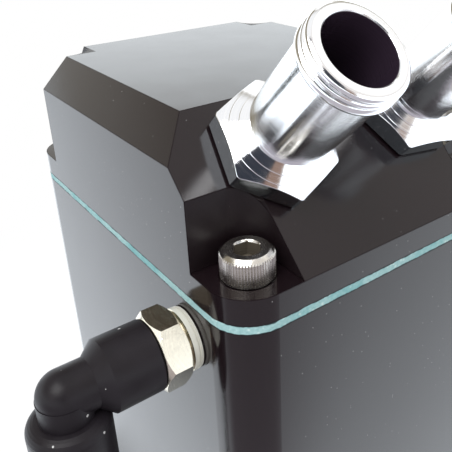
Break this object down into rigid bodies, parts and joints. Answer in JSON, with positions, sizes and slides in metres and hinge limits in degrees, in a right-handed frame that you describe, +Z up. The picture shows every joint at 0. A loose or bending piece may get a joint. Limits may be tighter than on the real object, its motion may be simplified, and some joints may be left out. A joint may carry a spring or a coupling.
{
  "type": "oil catch can",
  "caption": "Black square oil catch can with a bolted sloping lid, beaded hose spigots, and a clear sight tube held by push-in elbows on its left side.",
  "frame": {"origin": "centre of the tank's flat underside", "axes": "+X to the right, +Y to the back (the sloping front with the hose spigots faces -Y), +Z up; the sight tube is on the -X side"},
  "size_m": [0.0946, 0.0927, 0.1516],
  "materials": {
    "black_anodised": "satin",
    "gasket_teal": "matte",
    "screw_steel": "satin",
    "polished_aluminium": "polished",
    "plated_brass": "polished",
    "black_plastic": "matte",
    "black_rubber": "matte",
    "brass": "satin",
    "clear_tube": "glossy",
    "bare_aluminium": "satin",
    "copper": "satin"
  },
  "bodies": {
    "can": {"tank_body": "black_anodised", "gasket": "gasket_teal", "lid": "black_anodised", "cap_screw_front_left": "screw_steel", "cap_screw_front_right": "screw_steel", "cap_screw_rear_left": "screw_steel", "cap_screw_rear_right": "screw_steel", "hose_fitting_left": "polished_aluminium", "hose_fitting_right": "polished_aluminium", "hose_seal_left": "black_rubber", "hose_seal_right": "black_rubber", "stud_upper": "plated_brass", "stud_lower": "plated_brass", "stud_seal_upper": "black_rubber", "stud_seal_lower": "black_rubber", "elbow_upper": "black_plastic", "elbow_lower": "black_plastic", "tube_seal_upper": "black_rubber", "tube_seal_lower": "black_rubber", "grab_ring_upper": "screw_steel", "grab_ring_lower": "screw_steel", "guide_sleeve_upper": "brass", "guide_sleeve_lower": "brass", "sight_tube": "clear_tube", "baffle_plate": "bare_aluminium", "baffle_screw_front": "screw_steel", "baffle_screw_rear": "screw_steel", "drain_plug": "screw_steel", "drain_washer": "copper"},
    "collar_upper": {"release_collar_upper": "black_plastic"},
    "collar_lower": {"release_collar_lower": "black_plastic"}
  },
  "joints": [
    {"name": "press_upper_collar", "type": "slide", "parent": "can", "child": "collar_upper", "axis": [0, 0, 1], "range_m": [0, 0.001], "stiffness_N_per_m": 2000},
    {"name": "press_lower_collar", "type": "slide", "parent": "can", "child": "collar_lower", "axis": [0, 0, -1], "range_m": [0, 0.001], "stiffness_N_per_m": 2000}
  ]
}
